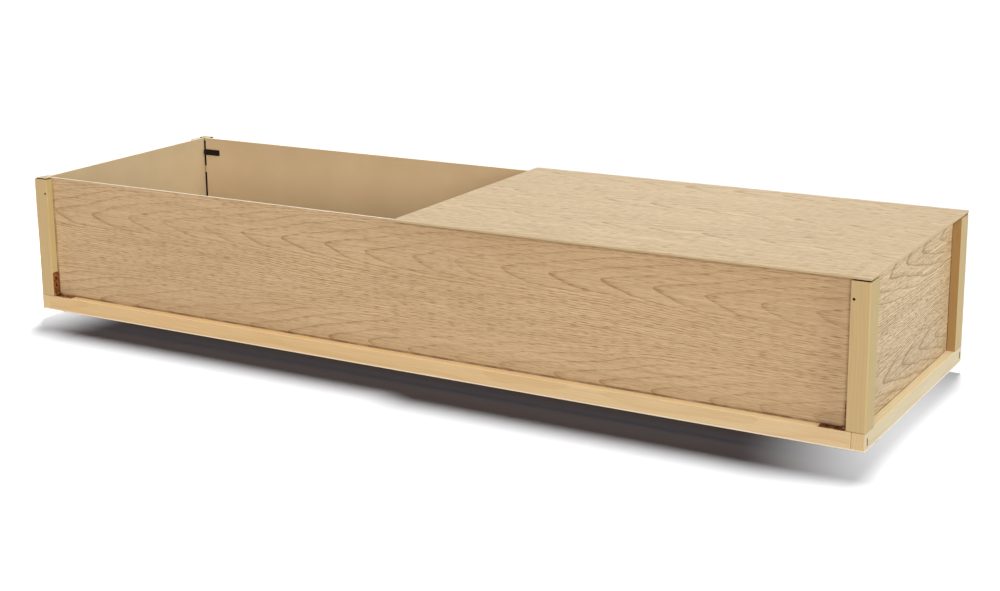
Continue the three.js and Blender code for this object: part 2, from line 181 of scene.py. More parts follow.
class Graph:
    """A material's nodes, ending in one Principled shader."""

    def __init__(self, name, roughness, metallic=0.0, shine=0.5):
        self.material = bpy.data.materials.new(name)
        self.material.use_nodes = True
        self.tree = self.material.node_tree
        self.tree.nodes.clear()
        self.shader = self.node("ShaderNodeBsdfPrincipled")
        self.shader.inputs["Roughness"].default_value = roughness
        self.shader.inputs["Metallic"].default_value = metallic
        self.shader.inputs["Specular IOR Level"].default_value = shine
        output = self.node("ShaderNodeOutputMaterial")
        self.feed(output.inputs["Surface"], self.shader.outputs["BSDF"])
        place = self.node("ShaderNodeTexCoord")
        self.x, self.y, self.z = self.parts(place.outputs["Object"], 1 / MM)
        self.facing = self.parts(place.outputs["Normal"], 1)

    def node(self, kind, **settings):
        node = self.tree.nodes.new(kind)
        for key, value in settings.items():
            setattr(node, key, value)
        return node

    def feed(self, socket, value):
        if isinstance(value, Value):
            self.tree.links.new(value.socket, socket)
        elif isinstance(value, bpy.types.NodeSocket):
            self.tree.links.new(value, socket)
        elif isinstance(value, tuple) and len(value) == 3:
            socket.default_value = (*value, 1.0)
        else:
            socket.default_value = value

    def parts(self, vector, scale):
        """The three coordinates of a vector, multiplied by scale."""
        split = self.node("ShaderNodeSeparateXYZ")
        self.feed(split.inputs[0], vector)
        return [Value(self, output) * scale for output in split.outputs]

    def math(self, operation, a, b=0.0):
        node = self.node("ShaderNodeMath", operation=operation)
        for socket, value in zip(node.inputs, (a, b)):
            self.feed(socket, value)
        return Value(self, node.outputs[0])

    def texture(self, kind, x, y, z):
        """A texture node with features one unit of x, y and z wide."""
        node = self.node(kind)
        point = self.node("ShaderNodeCombineXYZ")
        for socket, value in zip(point.inputs, (x, y, z)):
            self.feed(socket, value)
        self.feed(node.inputs["Vector"], point.outputs[0])
        node.inputs["Scale"].default_value = 1.0
        return node

    def noise(self, x, y, z=0.0, detail=2.0):
        """Soft noise about 0.5."""
        node = self.texture("ShaderNodeTexNoise", x, y, z)
        node.inputs["Detail"].default_value = detail
        return Value(self, node.outputs["Fac"])

    def cells(self, x, y, z):
        """The distance to the nearest of scattered points."""
        return Value(self, self.texture("ShaderNodeTexVoronoi", x, y, z).outputs["Distance"])

    def ease(self, value, low, high):
        """0 below low and 1 above high, with a smooth step between them."""
        node = self.node("ShaderNodeMapRange", interpolation_type="SMOOTHSTEP")
        for name, v in (("Value", value), ("From Min", low), ("From Max", high)):
            self.feed(node.inputs[name], v)
        return Value(self, node.outputs[0])

    def mix(self, share, first, second, way="MIX"):
        """A colour between two, or past one of them where the share is under 0 or over 1."""
        node = self.node("ShaderNodeMix", data_type="RGBA", blend_type=way, clamp_factor=False)
        for index, value in ((0, share), (6, first), (7, second)):
            self.feed(node.inputs[index], value)
        return node.outputs[2]

    def times(self, colour, other):
        """Two colours multiplied."""
        return self.mix(1.0, colour, other, "MULTIPLY")

    def tint(self, colour, brightness):
        """A colour made brighter or darker."""
        grey = self.node("ShaderNodeCombineColor")
        for socket in grey.inputs:
            self.feed(socket, brightness)
        return self.times(colour, grey.outputs[0])

    def painted_crack_shade(self, away, along, reach, seed):
        """Painted shade where two pieces meet: 1 at the joint and 0 past its reach, broken up along
        its length.
        """
        broken = self.ease(self.noise(along / CRACK_SHADE_RUN, seed, detail=3.0), 0.35, 0.60)
        strength = broken * (1 - CRACK_SHADE_FAINTEST) + CRACK_SHADE_FAINTEST
        return (1 - self.ease(away, reach / 2, reach)) * strength

    def finish(self, colour, roughness=None, height=None, depth=0.1):
        """Sets the colour, and where given the roughness and a bump of that depth."""
        self.feed(self.shader.inputs["Base Color"], colour)
        if roughness is not None:
            self.feed(self.shader.inputs["Roughness"], roughness)
        if height is not None:
            bump = self.node("ShaderNodeBump")
            bump.inputs["Distance"].default_value = depth * MM
            self.feed(bump.inputs["Height"], height)
            self.feed(self.shader.inputs["Normal"], bump.outputs[0])
        return self.material


# ---- Board materials ----

# The light and the dark of the oak print and of the bare board.
PRINT = (0.575, 0.395, 0.215), (0.270, 0.147, 0.045)
HARDBOARD = (0.512, 0.373, 0.215), (0.428, 0.295, 0.159)
# The sawn edges' colours; the top-facing edges are painted much paler, a painted highlight.
SAWN_TOP_HIGHLIGHT, SIDE_EDGE = (0.95, 0.80, 0.62), (0.560, 0.400, 0.220)  # sawn

HARDBOARD_FIBRES, HARDBOARD_PATCHES = 1.3, 0.9  # how strongly each varies the bare board
SAWN_SPREAD = 0.25  # how much the sawn edges vary in brightness

BOARD_SHINE = 0.25
BARE_ROUGHNESS, PRINT_GLOSS = 0.62, 0.2  # the bare board's, and how much smoother the print is
PATCH_TONE = 0.07  # how much a print's broad patches vary in brightness
# Painted shade in the joints round the panels, by the rails and the posts.
JOINT_SHADE_REACH = {"front": 4.6, "back": 4.6, "left": 2.6, "right": 2.6}  # across the dark joints
JOINT_SHADE_BROWN = (0.075, 0.032, 0.014)
JOINT_SHADE_DEPTH = 0.72  # the share of brown in the joints round a panel
POST_JOINT_SHADE_LOSS = 0.6  # how much fainter the joints beside the posts are at their tops
# Painted shade: how much darker the panels are low down, and how far up that reaches.
FOOT_SHADES = {"front": (0.20, 32), "back": (0.20, 32), "left": (0.17, 190), "right": (0.17, 190)}
# Tones that the prints are multiplied by, and how much paler the front one grows from its middle to
# its right end.
PRINT_TONES = {"front": (1.055, 1.065, 1.11), "right": (1.05, 1.05, 1.05)}
FRONT_PALER = 0.045
# The bare backs' tones, from the left-hand end of the box to its middle. The back one is painted
# darker towards the left-hand end, a painted shade.
BACK_TONES_AND_SHADE = {
    "left": ((1.03, 1.09, 1.14), (1.03, 1.09, 1.14)),
    "back": ((0.91, 0.92, 0.94), (1.02, 1.02, 1.03)),
}
# Painted shadow of the lid's overhang on the panels under it.
PAINTED_LID_SHADOW, PAINTED_LID_SHADOW_REACH = 0.5, 5.0  # how dark the panels are under the lid, and how far down

# board_material's settings for each board, in the order it takes them.
BOARDS = {
    "front": ((0, 2), -2, (322, 198), 0.0, 1.85, 0.3, 1.5, (1, 1)),
    "back": ((0, 2), 2, (290, 203), 11.0, 2.0, 0.3, 1.5, (-1, 1)),
    "right": ((1, 2), 1, (-55, 80), 21.0, 4.3, 0.4, 1.6, (1, -1)),
    "left": ((1, 2), -1, (-30, 92), 31.0, 3.2, 0.3, 2.0, (-1, -1)),
    "lid": ((0, 1), 3, (350, 53), 41.0, 2.9, 0.3, 1.8, (1, 1)),
}

CATHEDRAL_PITCH = 148  # across the grain, between the middles of two cathedrals
TIP_PITCH = 80  # along the grain, between two tips of one cathedral
TIP_ROUND = 4.5  # radius of a tip, across the grain
SWAY, RIPPLE = 24, 3.5  # how far the lines bend across the grain, broadly and finely
DRIFT = 50  # how far the tips move along it
NEAR_SLOPE = 4.3  # run along the grain for each millimetre across it, near a tip
SLOPE_TILT = 1.1  # more than that above the tips, and less below them
FAR_SLOPE = 22  # added to it away from the tips
CORE_ABOVE, CORE_BELOW = 38, 17  # how far across the grain the open part round the tips reaches
CORE_EASE = 12
THICKEST_LINE = 0.9  # the share of the way between two tips that a line may take up
LINE_WEIGHT, PORE_WEIGHT, STREAK_WEIGHT = 0.52, 0.21, 0.72  # how much each darkens the print
LINE_LEAST, LINE_SWING, LINE_CHANCE = 0.35, 0.24, 0.6  # a line's strength, and how it varies
BAND_WIDTH, BAND_PORES = 4.5, 0.20  # past a line, where more pores lie, and how many more
PRINT_MEAN = 0.10  # how dark the grain is on average
PRINT_REPEAT = 515  # along the grain, before the same print comes again
STRONG_TIPS = 40  # past a named tip, where the lines are darkest


def cathedrals(g, along, across, middle, tip_place, seed):
    """How far past the last line of a row of cathedral arches a place is, how close together the
    lines are there, and whether it is above its arches' middle.

    They open towards greater along. One has its middle at that place across the grain, and a tip
    at tip_place along it.
    """
    sway = g.noise(along / 300, across / 110, seed) - 0.5
    ripple = g.noise(along / 26, across / 9, seed + 3.1) - 0.5
    bent = across + sway * SWAY + ripple * RIPPLE
    row = (bent - middle) / CATHEDRAL_PITCH
    above = (row - g.math("ROUND", row)) * CATHEDRAL_PITCH
    off = abs(above)
    upper = g.ease(above, -6, 6)
    tip = g.math("SQRT", off * off + TIP_ROUND**2)
    far = g.math("MAXIMUM", off - CORE_BELOW - upper * (CORE_ABOVE - CORE_BELOW), 0.0)
    rise = g.math("SQRT", far * far + CORE_EASE**2) - CORE_EASE
    run = tip * NEAR_SLOPE + above * SLOPE_TILT + rise * FAR_SLOPE
    drift = (g.noise(along / 150, across / 60, seed + 7.7) - 0.5) * DRIFT
    rings = (along - tip_place + drift - run) / TIP_PITCH
    density = (NEAR_SLOPE + FAR_SLOPE * far / (rise + CORE_EASE)) / TIP_PITCH
    spread = g.math("SQRT", density * density + (THICKEST_LINE / TIP_PITCH) ** 2)
    return g.math("FRACT", rings) / spread, density, upper


def printed_grain(g, along, across, middle, tip_place, line_width, seed):
    """How dark the printed oak grain is beside its mean, and where its pores are."""
    past, density, upper = cathedrals(g, along, across, middle, tip_place, seed)
    line = g.math("EXPONENT", past / -line_width) - density * line_width
    band = g.math("EXPONENT", past / -BAND_WIDTH)
    turn = (along - tip_place - STRONG_TIPS) * (math.tau / PRINT_REPEAT)
    chance = g.noise(along / 55, across / 16, seed + 5.3)
    strong = g.math("COSINE", turn) * LINE_SWING + chance * LINE_CHANCE + LINE_LEAST
    dashes = g.ease(g.noise(along / 12, across / 0.9, seed + 6.2, detail=1.0), 0.30, 0.62)
    pores = g.ease(g.noise(along / 17, across / 0.75, seed + 9.1, detail=1.0), 0.48, 0.70)
    streaks = g.noise(along / 95, across / 0.85, seed + 4.4, detail=2.0)
    lines = line * strong * (dashes * 0.4 + 0.6) * (1.1 - upper * 0.35)
    dark = lines * LINE_WEIGHT + pores * (band * BAND_PORES + PORE_WEIGHT)
    return dark + (streaks - 0.5) * STREAK_WEIGHT - PRINT_MEAN, pores


def hardboard(g, along, across, seed):
    """The brown back of a board: pressed fibres, with soft patches."""
    fibres = g.noise(along / 1.6, across / 0.9, seed, detail=4.0)
    patches = g.noise(along / 70, across / 70, seed + 2.2, detail=3.0)
    share = (fibres - 0.5) * HARDBOARD_FIBRES + (patches - 0.5) * HARDBOARD_PATCHES + 0.5
    return g.mix(share, *HARDBOARD), fibres


def panel_joint_shade(g, side, along, reach, seed):
    """Painted shade on a panel beside the rail under it and beside the posts, and its painted
    shadow under the lid.
    """
    foot = box_mm(f"rail_{side}")[1].z
    corner = box_mm("post_front_left")[1]
    edge = -corner.x if side in ("front", "back") else -corner.y
    under = g.painted_crack_shade(g.z - foot, along, reach, seed)
    beside = g.painted_crack_shade(edge - abs(along), g.z, reach, seed + 3)
    lower = 1 - g.ease(g.z, foot, TOP) * POST_JOINT_SHADE_LOSS
    dark = g.math("MAXIMUM", under, beside * lower)
    # Painted shadow under the lid, over the half that it covers.
    lid_end = box_mm("lid_half")[0].x
    lid_shadow = g.ease(g.x, lid_end, lid_end + 2) * PAINTED_LID_SHADOW
    below_lid = box_mm(f"panel_{side}")[1].z - g.z
    return g.math("MAXIMUM", dark, (1 - g.ease(below_lid, 0.5, PAINTED_LID_SHADOW_REACH)) * lid_shadow)


def print_colour(g, side, share, patches, along, seed):
    """The oak print, with that share of its dark colour, and painted shade low down, at its joints
    and under the lid.
    """
    tone = patches * PATCH_TONE + 1.0
    if side == "front":
        tone = tone + g.x * (FRONT_PALER / HALF_LENGTH)
    if side != "lid":
        loss, reach = FOOT_SHADES[side]
        above = g.z - box_mm(f"rail_{side}")[1].z
        tone = tone * (g.ease(above, 0, reach) * loss + (1 - loss))
    oak = g.tint(g.mix(share, *PRINT), tone)
    if side in PRINT_TONES:
        oak = g.times(oak, PRINT_TONES[side])
    if side == "lid":
        return oak
    # Painted shade at the joints and painted shadow under the lid, mixed in as brown.
    joint_shade_share = panel_joint_shade(g, side, along, JOINT_SHADE_REACH[side], seed)
    return g.mix(joint_shade_share * JOINT_SHADE_DEPTH, oak, JOINT_SHADE_BROWN)


def board_material(side, axes, face, place, seed, contrast, shade, line_width, flip):
    """Thin board with printed oak on one face, bare brown hardboard on the other, and sawn edges.

    axes are the two (0, 1, 2) that the grain runs along and that its cathedrals stack up, and face
    is the one (1, 2, 3, with its sign) that the printed side looks along. place is where a tip is
    along the first, and the cathedrals' middle along the second. contrast is how much darker the
    grain is than the wood between, which is darker with shade. flip turns the cathedrals round.
    """
    g = Graph(f"oak_{side}", BARE_ROUGHNESS, shine=BOARD_SHINE)
    sign = 1 if face > 0 else -1
    outward = g.facing[abs(face) - 1] * sign
    a, b = [(g.x, g.y, g.z)[axis] * turn for axis, turn in zip(axes, flip)]
    tip, middle = place[0] * flip[0], place[1] * flip[1]
    dark, pores = printed_grain(g, a, b, middle, tip, line_width, seed)
    patches = g.noise(a / 420, b / 160, seed + 8.8) - 0.5
    oak = print_colour(g, side, g.math("MINIMUM", dark * contrast + shade, 0.95), patches, a, seed)
    back, fibres = hardboard(g, a, b, seed)
    if side in BACK_TONES_AND_SHADE:
        back = g.times(back, g.mix(g.ease(g.x, -HALF_LENGTH, 0), *BACK_TONES_AND_SHADE[side]))
    # Painted highlight: top-facing sawn edges take the paler colour.
    core_and_highlight = g.mix(g.ease(g.facing[2], 0.4, 0.7), SIDE_EDGE, SAWN_TOP_HIGHLIGHT)
    edge = g.tint(core_and_highlight, g.noise(a / 2, b / 2, seed) * SAWN_SPREAD + 0.88)
    printed = g.ease(outward, 0.45, 0.75)
    bare = g.ease(outward * -1, 0.45, 0.75)
    colour = g.mix(bare, g.mix(printed, edge, oak), back)
    roughness = BARE_ROUGHNESS - printed * PRINT_GLOSS + pores * printed * 0.1
    height = fibres * bare - pores * printed * 0.35
    return g.finish(colour, roughness, height, depth=0.05)


def plain_board_material():
    """The bottom board: bare hardboard all over."""
    g = Graph("plain_board", roughness=0.65)
    colour, fibres = hardboard(g, g.x, g.y, 6.0)
    return g.finish(colour, height=fibres, depth=0.05)


# ---- Timber materials ----

# The light wood, its dark rings and its blushed patches.
PINE = (0.724, 0.495, 0.245), (0.590, 0.350, 0.136), (0.724, 0.466, 0.227)
POST = (0.572, 0.400, 0.187), (0.452, 0.291, 0.112), (0.592, 0.410, 0.204)
# Painted light on the rails' top faces.
PAINTED_TOP_LIGHT = 0.33  # how much paler the rails are on top
# The tones of the long rails and the slats, from the first place along the box to its right end.
LONG_RAIL_TONES = (0.93, 0.905, 0.88), (0.98, 1.04, 1.14)
LONG_RAIL_TURN = -200
# The tones of the end rails: all over, and mixed in at their sawn ends.
END_RAIL_TONE = (0.865, 0.99, 1.18)
SAWN_END_TONE, SAWN_END_SHARE = (1.03, 1.09, 1.17), 0.7
# Painted highlight along the rails' lower edge: its colour, its share, how high it reaches and how
# soft.
ARRIS_HIGHLIGHT, ARRIS_HIGHLIGHT_SHARE = (0.95, 0.80, 0.58), 0.8
ARRIS, ARRIS_EASE = 2.5, 0.7  # how high the rails' pale lower edge is, and how soft
# Painted shade in the line where a post stands on the rail.
POST_FOOT_SHADE_LOSS, POST_FOOT_SHADE_REACH = 0.45, 1.6  # how dark and high the line is where a post stands on the rail
POST_END = (0.294, 0.168, 0.057)  # the sawn end of a post's end leg
SAWN_REACH = 1.5  # how far past that end its colour reaches, where another face meets it
# Painted light: the posts' end-facing sides are tinted apart from their front faces, by the way
# light falls on them.
POST_SIDE_LIGHT_TINT = (0.84, 0.825, 0.71)  # on the posts' end-facing sides
LEFT_POST_LOSS = 0.035  # how much darker the left-hand posts are

RING_PITCH = 4.2
PITH_AWAY = 46  # how far the pith of its tree lies from a timber
# How much each darkens the wood, and how blushed its patches are.
RING_WEIGHT, FIBRE_WEIGHT, STRIPE_WEIGHT, END_GRAIN_WEIGHT = 0.42, 0.8, 1.1, 0.35
BLUSH_SHARE = 0.35


def timber(g, axis, pith, seed, colours, contrast):
    """Solid wood whose grain runs along one axis, as a colour and the height of its fibres."""
    light, dark, blush = colours
    along = (g.x, g.y, g.z)[axis]
    across = [v for i, v in enumerate((g.x, g.y, g.z)) if i != axis]
    wander = g.noise(along / 260, across[0] / 40, seed) - 0.5
    drift = g.noise(along / 90, across[1] / 30, seed + 2.3) - 0.5
    a = across[0] - pith[0] + wander * 9
    b = across[1] - pith[1] + drift * 5
    radius = g.math("SQRT", a * a + b * b)
    ring = g.math("FRACT", radius / RING_PITCH + wander * 1.5)
    late = g.ease(ring, 0.45, 0.95) - g.ease(ring, 0.95, 1.0)
    fibres = g.noise(along / 26, across[0] / 0.7, across[1] / 0.7, detail=3.0)
    streaks = g.noise(along / 120, across[0] / 2.6, across[1] / 2.6, detail=2.0)
    end_grain = g.ease(abs(g.facing[axis]), 0.6, 0.9)
    share = late * RING_WEIGHT + (fibres - 0.5) * FIBRE_WEIGHT
    share = share + (streaks - 0.5) * STRIPE_WEIGHT + end_grain * END_GRAIN_WEIGHT
    patches = g.ease(g.noise(along / 140, across[0] / 60, seed + 4.9), 0.42, 0.68)
    body = g.mix(patches * BLUSH_SHARE, light, blush)
    return g.mix(share * contrast, body, dark), fibres


def pine_material(name, axis, pith, seed, end_rail=False, arris=None):
    """Pine, with painted light on its top faces. Its lower edge may carry a painted highlight up to
    a height.
    """
    g = Graph(name, roughness=0.5)
    colour, fibres = timber(g, axis, pith, seed, PINE, contrast=0.75)
    # Painted light: upward faces are made paler.
    colour = g.tint(colour, g.ease(g.facing[2], 0.6, 0.9) * PAINTED_TOP_LIGHT + 1.0)
    if end_rail:
        ends = g.ease(abs(g.facing[axis]), 0.6, 0.9)
        tone = g.mix(ends * SAWN_END_SHARE, END_RAIL_TONE, SAWN_END_TONE)
    else:
        tone = g.mix(g.ease(g.x, LONG_RAIL_TURN, HALF_LENGTH), *LONG_RAIL_TONES)
    colour = g.times(colour, tone)
    if arris:
        # Painted highlight on the lower edge.
        arris_highlight = 1 - g.ease(g.z, arris - ARRIS_EASE, arris)
        colour = g.mix(arris_highlight * ARRIS_HIGHLIGHT_SHARE, colour, ARRIS_HIGHLIGHT)
    return g.finish(colour, fibres * 0.2 + 0.4, fibres, depth=0.06)


def post_material(corner):
    """Post wood, with grain upright, painted light on its end-facing sides and painted shade where
    it stands on the rail. The sawn end of the end leg is darker and more orange.
    """
    side, face = CORNERS[corner]
    g = Graph(f"post_wood_{corner}", roughness=0.5)
    pith = (side * (HALF_LENGTH - PITH_AWAY), face * (HALF_WIDTH + PITH_AWAY * 0.7))
    wood, fibres = timber(g, 2, pith, 2.0 + side + 2 * face, POST, contrast=0.5)
    lo, hi = box_mm(f"post_{corner}")
    leg = min(abs(lo.y), abs(hi.y)) + SAWN_REACH
    sawn = g.ease(g.facing[1] * -face, 0.5, 0.8) * (1 - g.ease(abs(g.y), leg, leg + 1))
    sawn_wood = g.tint(POST_END, fibres * 0.35 + 0.85)
    # Painted shade where the post stands on the rail.
    post_foot_shade = g.painted_crack_shade(g.z - lo.z, g.x + g.y, POST_FOOT_SHADE_REACH, seed=3.0)
    # Painted light: the end-facing sides get their own tint.
    wood = g.times(wood, g.mix(abs(g.facing[0]), (1.0, 1.0, 1.0), POST_SIDE_LIGHT_TINT))
    whole = 1 - LEFT_POST_LOSS if side < 0 else 1
    wood = g.tint(wood, (1 - post_foot_shade * POST_FOOT_SHADE_LOSS) * whole)
    colour = g.mix(sawn, wood, sawn_wood)
    return g.finish(colour, fibres * 0.2 + 0.4, fibres, depth=0.05)


# ---- Small materials ----

SMALL_SHINE = 0.12  # of plastic, tape, pads, wheels and dark steel
# The pads' top-facing colour.
PAD_TOP_COLOUR = (0.62, 0.46, 0.26)  # on top of the black pads
BRASS = (0.56, 0.26, 0.12), (0.15, 0.050, 0.022)  # bright and tarnished
OLDER_RIGHT = 0.16  # how much more tarnish the right-hand hinges have
ZINC = (0.62, 0.63, 0.64), (0.46, 0.47, 0.49)


def speckled(name, colour, spread, roughness, grain=0.6, depth=0.03, top=None):
    """One colour, or another on top, with fine variation in brightness, gloss and height."""
    g = Graph(name, roughness, shine=SMALL_SHINE)
    fine = g.noise(g.x / grain, g.y / grain, g.z / grain, detail=3.0)
    broad = g.noise(g.x / 9, g.y / 9, g.z / 9, detail=2.0)
    tone = (fine - 0.5) * spread + (broad - 0.5) * spread + 1.0
    gloss = (broad - 0.5) * 0.25 + (fine - 0.5) * 0.1 + roughness
    if top:
        colour = g.mix(g.ease(g.facing[2], 0.5, 0.8), colour, top)
    return g.finish(g.tint(colour, tone), gloss, fine, depth)


def brass_material():
    """Coppery brass plate on steel, scratched and tarnished."""
    g = Graph("brassed_steel", 0.3, 1.0)
    older = g.ease(g.x, -10, 10) * OLDER_RIGHT
    tarnish = g.ease(g.noise(g.x / 4, g.y / 4, g.z / 4, detail=4.0) + older, 0.42, 0.7)
    scratch = g.noise(g.x / 0.25, g.y / 5, g.z / 5, detail=2.0)
    colour = g.mix(tarnish, *BRASS)
    gloss = tarnish * 0.22 + scratch * 0.12 + 0.2
    return g.finish(colour, gloss, scratch, depth=0.02)


def zinc_material():
    """Bright zinc plate with a faint spangle."""
    g = Graph("zinc_steel", 0.35, 1.0)
    spangle = g.cells(g.x / 3, g.y / 3, g.z / 3)
    fine = g.noise(g.x / 0.5, g.y / 0.5, g.z / 0.5, detail=2.0)
    colour = g.mix(spangle, *ZINC)
    return g.finish(colour, spangle * 0.15 + fine * 0.15 + 0.22, fine, depth=0.02)


def make_materials():
    """Every material, by name."""
    made = {f"board_{side}": board_material(side, *settings) for side, settings in BOARDS.items()}
    made |= {
        "board_plain": plain_board_material(),
        "tape": speckled("black_tape", (0.007, 0.004, 0.004), 0.5, 0.9, grain=0.8, depth=0.15),
        "pad": speckled("black_pad", (0.007, 0.005, 0.005), 0.5, 0.9, depth=0.1, top=PAD_TOP_COLOUR),
        "plastic": speckled("black_plastic", (0.009, 0.006, 0.005), 0.3, 0.45),
        "rivet": speckled("black_rivet", (0.012, 0.009, 0.008), 0.3, 0.5),
        "wheel": speckled("wheel_plastic", (0.028, 0.028, 0.030), 0.3, 0.45),
        "staple": speckled("staple_steel", (0.030, 0.022, 0.015), 0.4, 0.6),
        "screw": speckled("dark_screw", (0.020, 0.008, 0.005), 0.4, 0.6),
        "brass": brass_material(),
        "zinc": zinc_material(),
    }
    foot = box_mm("rail_front")[0].z
    middle, arris = foot + 12, foot + ARRIS
    for name, face in (("front", -1), ("back", 1)):
        pith = (face * (HALF_WIDTH + PITH_AWAY), middle + 8)
        made[f"rail_{name}"] = pine_material(f"pine_{name}", 0, pith, face * 3.0, False, arris)
    for name, side in (("left", -1), ("right", 1)):
        pith = (side * (HALF_LENGTH + PITH_AWAY), middle - 6)
        made[f"rail_{name}"] = pine_material(f"pine_{name}", 1, pith, side * 5.0, True, arris)
        pith = (side * (HALF_LENGTH - 60), middle - PITH_AWAY)
        made[f"slat_{name}"] = pine_material(f"pine_slat_{name}", 1, pith, side * 7.0)
    for corner in CORNERS:
        made[f"post_{corner}"] = post_material(corner)
    return made


# ---- Mesh helpers ----


def box_mm(node):
    low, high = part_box(node)
    return low / MM, high / MM


def add_piece(name, mesh, material, body, replaced=()):
    """Puts a finished mesh in the scene, riding on a body and standing for CAD nodes."""
    piece = bpy.data.objects.new(name, mesh)
    bpy.context.scene.collection.objects.link(piece)
    if not mesh.materials:
        mesh.materials.append(material)
    piece.modifiers.new("even shading", "WEIGHTED_NORMAL").keep_sharp = True
    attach(piece, body)
    if replaced:
        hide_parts(*replaced)
    return piece


def mesh_from(bm, name="part"):
    """A mesh made from a bmesh, which is freed."""
    mesh = bpy.data.meshes.new(name)
    bm.to_mesh(mesh)
    bm.free()
    return mesh


def mesh_of(bm, name):
    """Turns a bmesh into a mesh with smooth shading, except at its creases."""
    for face in bm.faces:
        face.smooth = True
    for edge in bm.edges:
        creased = len(edge.link_faces) == 2 and edge.calc_face_angle() > math.radians(CREASED)
        edge.smooth = not creased
    return mesh_from(bm, name)


def refined(node, edge, segments):
    """A clean copy of a CAD node: welded, its flat faces whole, and its sharp edges rounded."""
    bm = bmesh.new()
    bm.from_mesh(frame["nodes"][node].data)
    bmesh.ops.remove_doubles(bm, verts=bm.verts, dist=WELD)
    flat = math.radians(FLAT)
    bmesh.ops.dissolve_limit(bm, angle_limit=flat, verts=bm.verts, edges=bm.edges)
    sharp = [e for e in bm.edges if e.calc_face_angle() > math.radians(ROUNDED)]
    shape = {"segments": segments, "profile": 0.5, "affect": "EDGES", "clamp_overlap": True}
    bmesh.ops.bevel(bm, geom=sharp, offset=edge * MM, **shape)
    return mesh_of(bm, node)


def arc(centre, radius, start, end, steps):
    """Points on an arc, with angles in degrees."""
    angles = [math.radians(start + (end - start) * i / steps) for i in range(steps + 1)]
    return [(centre[0] + radius * math.cos(t), centre[1] + radius * math.sin(t)) for t in angles]


def rounded(width, height, radius):
    """A rectangle from the origin with round corners."""
    low, right, up = radius, width - radius, height - radius
    corners = [((right, low), -90), ((right, up), 0), ((low, up), 90), ((low, low), 180)]
    return [p for c, turn in corners for p in arc(c, radius, turn, turn + 90, 6)]


def circle(centre, radius, sides=32):
    return arc(centre, radius, 0, 360, sides)[:-1]


def plate(outline, holes, thick, edge):
    """A flat plate in the XY plane from z 0 to thick, with holes and softened edges, as a bmesh."""
    curve = bpy.data.curves.new("plate", "CURVE")
    curve.dimensions = "2D"
    curve.fill_mode = "BOTH"
    curve.extrude = thick / 2 - edge
    curve.bevel_depth = edge
    curve.bevel_resolution = 2
    curve.offset = -edge
    for loop in [outline, *holes]:
        spline = curve.splines.new("POLY")
        spline.points.add(len(loop) - 1)
        for point, (x, y) in zip(spline.points, loop):
            point.co = (x, y, 0, 1)
        spline.use_cyclic_u = True
    holder = bpy.data.objects.new("plate", curve)
    mesh = bpy.data.meshes.new_from_object(holder)
    bm = bmesh.new()
    bm.from_mesh(mesh)
    bpy.data.objects.remove(holder)
    bpy.data.curves.remove(curve)
    bpy.data.meshes.remove(mesh)
    bmesh.ops.remove_doubles(bm, verts=bm.verts, dist=WELD_DRAWN)
    bmesh.ops.translate(bm, verts=bm.verts, vec=(0, 0, thick / 2))
    bmesh.ops.recalc_face_normals(bm, faces=bm.faces)
    return bm


def turned(profile, sides=32):
    """A closed solid turned about Z from (radius, z) points, as a bmesh. The profile starts and
    ends on the axis, or is closed into a ring."""
    bm = bmesh.new()
    ring = profile[0][0] > 0
    verts = [bm.verts.new((r, 0, z)) for r, z in profile]
    followers = verts[1:] + (verts[:1] if ring else [])
    edges = [bm.edges.new(pair) for pair in zip(verts, followers)]
    turn = {"axis": (0, 0, 1), "cent": (0, 0, 0), "angle": math.tau, "use_merge": True}
    bmesh.ops.spin(bm, geom=verts + edges, steps=sides, **turn)
    bmesh.ops.remove_doubles(bm, verts=bm.verts, dist=WELD_DRAWN)
    bmesh.ops.recalc_face_normals(bm, faces=bm.faces)
    return bm


def moved(bm, matrix):
    """The bmesh turned and moved. A mirror image keeps its faces pointing outwards."""
    bmesh.ops.transform(bm, matrix=matrix, verts=bm.verts)
    if matrix.determinant() < 0:
        bmesh.ops.reverse_faces(bm, faces=bm.faces)
    return bm


def merged(*parts):
    """One bmesh holding several, which are freed."""
    whole = bmesh.new()
    for part in parts:
        mesh = mesh_from(part)
        whole.from_mesh(mesh)
        bpy.data.meshes.remove(mesh)
    return whole


def cuboid(low, high):
    """A box between two corners, as a bmesh."""
    bm = bmesh.new()
    middle, size = (low + high) / 2, high - low
    place = Matrix.Translation(middle) @ Matrix.Diagonal((*size, 1))
    bmesh.ops.create_cube(bm, size=1, matrix=place)
    return bm


def copies(bm, places):
    """One bmesh holding a copy at each place. The first is freed."""
    whole = merged(*[moved(bm.copy(), place) for place in places])
    bm.free()
    return whole


def corner_matrix(corner):
    """From corner coordinates (in from the end face, in from the long face, up) to the scene."""
    side, face = CORNERS[corner]
    place = Matrix.Translation((side * HALF_LENGTH, face * HALF_WIDTH, 0))
    return Matrix.Scale(MM, 4) @ place @ Matrix.Diagonal((-side, -face, 1, 1))


def in_corner(name, ending="_front_left"):
    """The box of the front left corner's node of that name, in corner coordinates."""
    low, high = box_mm(name + ending)
    shift = Vector((HALF_LENGTH, HALF_WIDTH, 0))
    return low + shift, high + shift


def at_corners(name, drawn, material, body="base"):
    """Makes the piece drawn in corner coordinates at each corner. It stands for the CAD node of
    that name, if there is one."""
    for corner in CORNERS:
        node = f"{name}_{corner}"
        stands = node in frame["nodes"]
        piece = f"{name}_fine_{corner}" if stands else node
        mesh = mesh_of(moved(drawn.copy(), corner_matrix(corner)), piece)
        rider = body if body in frame["bodies"] else f"{body}_{corner}"
        add_piece(piece, mesh, material, rider, [node] if stands else [])
    drawn.free()


# ---- Timber, boards, pads and tape ----


